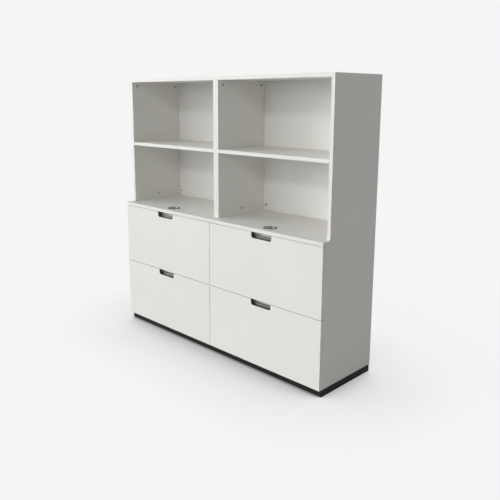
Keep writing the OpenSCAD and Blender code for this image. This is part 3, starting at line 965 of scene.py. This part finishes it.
@dataclass
class Carcass:
    """Boards, shelves and plinth, with the screws and pins that join them."""

    easing: Easing = Easing(0.0006)
    back_easing: Easing = Easing(0.0016)
    boards: tuple[str, ...] = (
        "side_panel_left", "side_panel_right", "top_panel", "worktop", "bottom_panel",
        "partitions_lower", "partitions_upper", "back_lower", "back_upper",
        "shelf_left", "shelf_right",
    )
    backs: tuple[str, ...] = ("back_lower", "back_upper")
    plinths: tuple[str, ...] = ("plinth_front", "plinth_back", "plinth_cross_rails")
    plinth_colour: Colour = (0.0160, 0.0160, 0.0157)
    cam_tone: float = 0.72
    turned_grain: Point = (30.0, 30.0, 30.0)
    head_grain: Point = (40.0, 40.0, 40.0)
    back_head: Head = Head("back_screws", 0.0045, 0.0020)
    back_head_colour: Colour = (0.20, 0.20, 0.202)
    screw_inset: float = 0.008
    side_inset: float = 0.0095
    level_inset: float = 0.05
    level_count: int = 9
    upright_inset: float = 0.06
    upright_count: int = 5
    rail_head: Head = Head("rail_screws", 0.0034, 0.0005)
    rail_screw_count: int = 3
    rail_screw_inset: float = 0.03
    web_depth: float = 0.0026

    def build(self) -> None:
        """Builds and dresses the boards, the plinth and the fittings."""
        self.dress_boards()
        self.dress_plinth()
        self.dress_fittings()
        self.back_screws()
        self.rail_screws()

    def dress_boards(self) -> None:
        """Rounds each board's edges and gives it the white foil."""
        for node in self.boards:
            easing = self.back_easing if node in self.backs else self.easing
            easing.copy(node, FoilBoard(f"white_foil_{node}"), Slot.BOARD)
            LOG.info("board %s", node)

    def dress_plinth(self) -> None:
        """Gives the plinth rails their dark foil."""
        look = {"colour": self.plinth_colour, "roughness": 0.6, "wear": 1.0, "gloss": 0.12}
        for node in self.plinths:
            self.easing.copy(node, FoilBoard(f"dark_foil_{node}", **look), Slot.PLINTH)
            LOG.info("plinth %s", node)

    def dress_fittings(self) -> None:
        """Plates the cams, the shelf pins, the lock bars' guide screws and the runners' rails."""
        tones = {"cam_fittings": self.cam_tone, "shelf_pins": 1.0, "lock_guides": 1.0}
        for node, tone in tones.items():
            colour = toned(ZincSheet.colour, tone)
            coat(node, ZincSheet(f"zinc_{node}", colour=colour, along=self.turned_grain))
            LOG.info("fittings %s", node)
        coat("runner_rails", ZincSheet("zinc_runner_rails"))
        LOG.info("fittings runner_rails")

    def back_screws(self) -> None:
        """Sets rows of screws round the back boards, seen from behind."""
        look = {"colour": self.back_head_colour, "roughness": 0.6, "along": self.head_grain}
        zinc = ZincSheet("zinc_back_screws", **look).material(CAD_BOX)
        rows = []
        for node in self.backs:
            low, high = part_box(node)
            y = high.y
            start, end = low.x + self.level_inset, high.x - self.level_inset
            for z in (low.z + self.screw_inset, high.z - self.screw_inset):
                rows.append(HeadRow((start, y, z), (end, y, z), self.level_count, Facing.REAR))
            start, end = low.z + self.upright_inset, high.z - self.upright_inset
            for x in (low.x + self.side_inset, 0.0, high.x - self.side_inset):
                rows.append(HeadRow((x, y, start), (x, y, end), self.upright_count, Facing.REAR))
        self.back_head.set_rows(rows, "carcass", zinc)

    def rail_screws(self) -> None:
        """Sets flat screws through the fixed runner rails."""
        zinc = ZincSheet("zinc_rail_screws", along=self.head_grain).material(CAD_BOX)
        rows = []
        for row, column in product(Row, Column):
            low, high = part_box(f"runner_inner_{row.value}_{column.value}")
            start, end = low.y + self.rail_screw_inset, high.y - self.rail_screw_inset
            z = (low.z + high.z) / 2
            sides = ((low.x - self.web_depth, Facing.RIGHT), (high.x + self.web_depth, Facing.LEFT))
            for x, facing in sides:
                rows.append(HeadRow((x, start, z), (x, end, z), self.rail_screw_count, facing))
        self.rail_head.set_rows(rows, "carcass", zinc)


@dataclass
class Drawer:
    """One drawer with its front, grip, box, file rails and runners."""

    column: Column
    row: Row
    easing: Easing = Easing(0.0006, least=0.004)
    grip_easing: Easing = Easing(0.0005, least=0.0015)
    grip_colour: Colour = (0.05, 0.05, 0.052)
    beads: Span = (0.045, 0.225)
    rail_grain: Point = (2.2, 60.0, 60.0)
    head_grain: Point = (40.0, 40.0, 40.0)
    sheet: float = 0.0012
    rivet: Head = Head("rivets", 0.0024, 0.0009)
    rivet_count: int = 4
    rivet_heights: Span = (0.02, 0.26)
    rivet_inset: float = 0.010
    cover_screw: Head = Head("cover_screws", 0.0032, 0.0018)
    cover_screw_count: int = 2
    cover_screw_insets: Span = (0.008, 0.010)
    cover_screw_reach: float = 0.0075

    @property
    def place(self) -> str:
        """The ending of this drawer's node names."""
        return f"{self.row.value}_{self.column.value}"

    def build(self) -> None:
        """Builds and dresses the drawer."""
        self.dress_front()
        self.dress_grip()
        self.dress_box()
        self.dress_runners()
        self.set_rivets()

    def dress_front(self) -> None:
        """Rounds the front's edges and gives it the white foil."""
        node = f"front_{self.place}"
        self.easing.copy(node, FoilBoard(f"white_foil_{node}"), Slot.BOARD)
        LOG.info("front %s", self.place)

    def dress_grip(self) -> None:
        """Gives the grip its dark moulded plastic."""
        node = f"grip_{self.place}"
        look = {"colour": self.grip_colour, "roughness": 0.34, "gloss": 1.0}
        self.grip_easing.copy(node, MouldedPlastic(f"charcoal_{node}", **look), Slot.GRIP)
        LOG.info("grip %s", self.place)

    def dress_box(self) -> None:
        """Coats the walls, lays foil on the floor and plates the file rails."""
        walls, floor = f"box_walls_{self.place}", f"box_floor_{self.place}"
        rails = f"file_rails_{self.place}"
        coat(walls, PowderCoat(f"powder_{walls}", beads=self.beads))
        coat(floor, FoilBoard(f"floor_foil_{floor}", roughness=0.5))
        coat(rails, ZincSheet(f"zinc_{rails}", along=self.rail_grain))
        LOG.info("box %s", self.place)

    def dress_runners(self) -> None:
        """Plates the two moving members."""
        for node in (f"runner_mid_{self.place}", f"runner_inner_{self.place}"):
            coat(node, ZincSheet(f"zinc_{node}"))
        LOG.info("runners %s", self.place)

    def set_rivets(self) -> None:
        """Rivets the box's rear corners and screws the grip's cover to the front."""
        node = f"box_walls_{self.place}"
        body = frame["nodes"][node]["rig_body"]
        low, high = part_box(node)
        zinc = ZincSheet(f"zinc_rivets_{self.place}", along=self.head_grain)
        metal = zinc.material((low, high))
        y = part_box(f"box_floor_{self.place}")[1].y - self.rivet_inset
        start, end = (low.z + height for height in self.rivet_heights)
        rows = [
            HeadRow((x, y, start), (x, y, end), self.rivet_count, facing)
            for x, facing in ((low.x, Facing.LEFT), (high.x, Facing.RIGHT))
        ]
        self.rivet.set_rows(rows, body, metal)
        low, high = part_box(f"grip_{self.place}")
        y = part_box(f"front_{self.place}")[1].y + self.sheet
        start, end = low.z + self.cover_screw_insets[0], high.z - self.cover_screw_insets[1]
        rows = [
            HeadRow((x, y, start), (x, y, end), self.cover_screw_count, Facing.REAR)
            for x in (low.x - self.cover_screw_reach, high.x + self.cover_screw_reach)
        ]
        self.cover_screw.set_rows(rows, body, metal)


@dataclass
class CodeLock:
    """One code lock: housing, knob, number wheels, lock bar."""

    column: Column
    housing_easing: Easing = Easing(0.0003, least=0.0005)
    housing_colour: Colour = (0.16, 0.16, 0.165)
    knob_easing: Easing = Easing(0.0004, least=0.0006)
    rib_ring: float = 0.0085
    rib_count: int = 44
    rib_width: float = 0.00042
    rib_height: float = 0.0013
    rib_drop: float = 0.0084
    wheel_colour: Colour = (0.60, 0.605, 0.615)
    facet: float = 0.0076
    figure: float = 0.0040
    figure_depth: float = 0.00012
    wheels: tuple[str, ...] = ("a", "b", "c")

    def build(self) -> None:
        """Builds and dresses the lock."""
        self.dress_housing()
        self.dress_knob()
        self.dress_wheels()
        self.dress_bar()

    def dress_housing(self) -> None:
        """Gives the flange its satin plastic."""
        node = f"lock_housing_{self.column.value}"
        look = {"colour": self.housing_colour, "roughness": 0.34, "grain": 0.00001}
        self.housing_easing.copy(node, MouldedPlastic(f"satin_{node}", **look), Slot.LOCK)
        LOG.info("lock housing %s", self.column.value)

    def dress_knob(self) -> None:
        """Gives the knob its turned metal and the ribs round its disc."""
        node = f"lock_knob_{self.column.value}"
        low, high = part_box(node)
        x, y = (low.x + high.x) / 2, (low.y + high.y) / 2
        metal = TurnedMetal(f"satin_metal_{node}", centre=(x, y, high.z))
        knob = self.knob_easing.copy(node, metal, Slot.KNOB)
        ribs = grown(rib_tree(), f"knob_ribs_{self.column.value}", {
            "Centre": (x, y, high.z - self.rib_drop), "Radius": self.rib_ring,
            "Count": self.rib_count, "Rib Width": self.rib_width, "Rib Height": self.rib_height,
            "Material": knob.data.materials[0],
        })
        assign(ribs, node)
        LOG.info("knob %s", self.column.value)

    def dress_wheels(self) -> None:
        """Gives the number wheels their plastic and their figures."""
        tree = number_tree()
        ink = PrintedInk(f"ink_{self.column.value}").material()
        look = {"colour": self.wheel_colour, "roughness": 0.3, "grain": 0.000008}
        for letter in self.wheels:
            node = f"wheel_{self.column.value}_{letter}"
            coat(node, MouldedPlastic(f"wheel_plastic_{node}", **look))
            low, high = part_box(node)
            figures = grown(tree, f"numbers_{self.column.value}_{letter}", {
                "Centre": tuple((low + high) / 2), "Facet Distance": self.facet,
                "Figure Size": self.figure, "Figure Depth": self.figure_depth, "Material": ink,
            })
            assign(figures, node)
            LOG.info("number wheel %s", node)

    def dress_bar(self) -> None:
        """Plates the lock bar."""
        node = f"lock_bar_{self.column.value}"
        coat(node, ZincSheet(f"zinc_{node}"))
        LOG.info("lock bar %s", self.column.value)


@dataclass(frozen=True)
class Lamp:
    """A soft, distant lamp: its place and angular size in degrees, and its strength."""

    name: str
    azimuth: float
    elevation: float
    size: float
    strength: float
    distance: float = 6.0

    def hang(self) -> None:
        """Puts the lamp in the scene, turned towards the origin."""
        lamp = bpy.data.lights.new(self.name, "SUN")
        lamp.energy = self.strength
        lamp.angle = math.radians(self.size)
        obj = bpy.data.objects.new(self.name, lamp)
        bpy.context.scene.collection.objects.link(obj)
        a, e = math.radians(self.azimuth), math.radians(self.elevation)
        towards = Vector((math.sin(a) * math.cos(e), -math.cos(a) * math.cos(e), math.sin(e)))
        obj.location = towards * self.distance
        obj.rotation_euler = towards.to_track_quat("Z", "Y").to_euler()


@dataclass
class Studio:
    """Floor, backdrop tone, lights and camera."""

    backdrop: float = 0.913
    ambient: float = 0.169
    floor_radius: float = 30.0
    floor_sides: int = 96
    floor_tone: float = 0.60
    seen_tone: float = 0.08
    floor_glow: float = 0.86
    shade_reach: float = 0.6
    shade_samples: int = 16
    shade_curve: tuple[Span, ...] = (
        (0.0, 0.0), (0.2, 0.14), (0.4, 0.32), (0.5, 0.506), (0.55, 0.634), (0.6, 0.75),
        (0.65, 0.826), (0.7, 0.855), (0.8, 0.913), (0.9, 0.95), (1.0, 1.0),
    )
    fade: Span = (1.1, 2.3)
    lamps: tuple[Lamp, ...] = (
        Lamp("key", -60.0, 12.0, 40.0, 1.705),
        Lamp("wide", -35.0, 8.0, 50.0, 0.851),
        Lamp("window", 9.0, 25.0, 6.0, 0.252),
        Lamp("side_window", 30.0, 24.0, 8.0, 0.236),
        Lamp("low", 0.0, 5.0, 30.0, 0.52),
        Lamp("top", 0.0, 89.0, 60.0, 0.478),
        Lamp("rear", 180.0, 10.0, 14.0, 0.60),
    )
    camera_place: Point = (2.4534, -2.4560, 1.4784)
    pitch: float = 10.92133914884091
    yaw: float = 45.21822597869891
    sensor: float = 36.0
    lens: float = 42.991
    shift: Span = (0.03038, -0.0755)
    clip: Span = (0.05, 100.0)

    def build(self) -> None:
        """Builds the studio."""
        self.make_world()
        self.make_floor()
        for lamp in self.lamps:
            lamp.hang()
        self.make_camera()
        LOG.info("studio with %d lamps", len(self.lamps))

    @staticmethod
    def seen(nodes: Nodes) -> Socket:
        """The share of a ray that sees a plain tone: camera, glossy or transmission.

        Args:
            nodes: the node tree.

        Returns:
            The socket, 0 or 1.
        """
        rays = nodes.node("ShaderNodeLightPath").outputs
        glassy = nodes.math("MAXIMUM", rays["Is Glossy Ray"], rays["Is Transmission Ray"])
        return nodes.math("MAXIMUM", rays["Is Camera Ray"], glassy)

    @staticmethod
    def mixed(nodes: Nodes, share: Socket, first: Socket, second: Socket) -> Socket:
        """Mixes two shaders.

        Args:
            nodes: the node tree.
            share: 0 gives the first and 1 the second.
            first: a shader.
            second: a shader.

        Returns:
            The mixed shader's socket.
        """
        mix = nodes.node("ShaderNodeMixShader")
        for i, socket in enumerate((share, first, second)):
            nodes.put(mix.inputs[i], socket)
        return mix.outputs[0]

    def make_world(self) -> None:
        """A plain pale world that lights the object evenly."""
        world = bpy.data.worlds.new("studio")
        world.use_nodes = True
        bpy.context.scene.world = world
        s = Nodes(world.node_tree)
        s.tree.nodes.clear()
        white, pale = opaque((1.0, 1.0, 1.0)), opaque((self.backdrop,) * 3)
        light = s.node("ShaderNodeBackground", {"Color": white, "Strength": self.ambient})
        tone = s.node("ShaderNodeBackground", {"Color": pale})
        both = self.mixed(s, self.seen(s), light.outputs[0], tone.outputs[0])
        s.node("ShaderNodeOutputWorld", {"Surface": both})

    def make_floor(self) -> None:
        """A plain floor, seen as a glow with a painted contact shadow over a faint real shadow,
        fading into the backdrop's tone.
        """
        bm = bmesh.new()
        bmesh.ops.create_circle(
            bm, cap_ends=True, segments=self.floor_sides, radius=self.floor_radius
        )
        floor = placed("floor", meshed("floor", bm))
        paint(floor, self.floor_material())

    def floor_material(self) -> bpy.types.Material:
        """Makes the floor's material.

        Returns:
            The material.
        """
        s = Shader("floor")
        s.tree.nodes.remove(s.bsdf)
        seen = self.seen(s)
        # Painted shadow: ambient occlusion darkens the floor's glow near the object; the faint
        # diffuse below keeps a real shadow.
        shade = s.node(
            "ShaderNodeAmbientOcclusion", {"Distance": self.shade_reach}, samples=self.shade_samples
        )
        curve = s.node("ShaderNodeFloatCurve", {"Value": shade.outputs["AO"]})
        points = curve.mapping.curves[0].points
        points[0].location, points[-1].location = self.shade_curve[0], self.shade_curve[-1]
        for place in self.shade_curve[1:-1]:
            points.new(*place)
        curve.mapping.update()
        tone = s.blend(seen, (self.floor_tone,) * 3, (self.seen_tone,) * 3)
        matt = s.node("ShaderNodeBsdfDiffuse", {"Color": tone})
        glow = s.math("MULTIPLY", seen, s.math("MULTIPLY", curve.outputs[0], self.floor_glow))
        lit = s.node("ShaderNodeEmission", {"Strength": glow})
        near = s.node("ShaderNodeAddShader")
        for socket, part in zip(near.inputs, (matt, lit)):
            s.put(socket, part.outputs[0])
        far = s.node("ShaderNodeEmission", {"Strength": self.backdrop})
        away = s.node("ShaderNodeVectorMath", {"Vector": s.place}, operation="LENGTH")
        share = s.math("MULTIPLY", s.ramp(away.outputs["Value"], self.fade), seen)
        s.put(s.surface, self.mixed(s, share, near.outputs[0], far.outputs[0]))
        return s.material

    def make_camera(self) -> None:
        """The camera at the photograph's viewpoint."""
        data = bpy.data.cameras.new("camera")
        data.sensor_width = self.sensor
        data.lens = self.lens
        data.shift_x, data.shift_y = self.shift
        data.clip_start, data.clip_end = self.clip
        camera = bpy.data.objects.new("camera", data)
        camera.location = self.camera_place
        camera.rotation_euler = (math.radians(90.0 - self.pitch), 0.0, math.radians(self.yaw))
        bpy.context.scene.collection.objects.link(camera)
        bpy.context.scene.camera = camera


def main() -> None:
    """Builds the cupboard's looks and the studio."""
    logging.basicConfig(level=logging.INFO, format="%(name)s: %(message)s")
    bpy.context.scene.view_settings.view_transform = "Standard"
    Studio().build()
    Carcass().build()
    for row, column in product(Row, Column):
        Drawer(column, row).build()
    for column in Column:
        CodeLock(column).build()


if __name__ == "__main__":
    main()
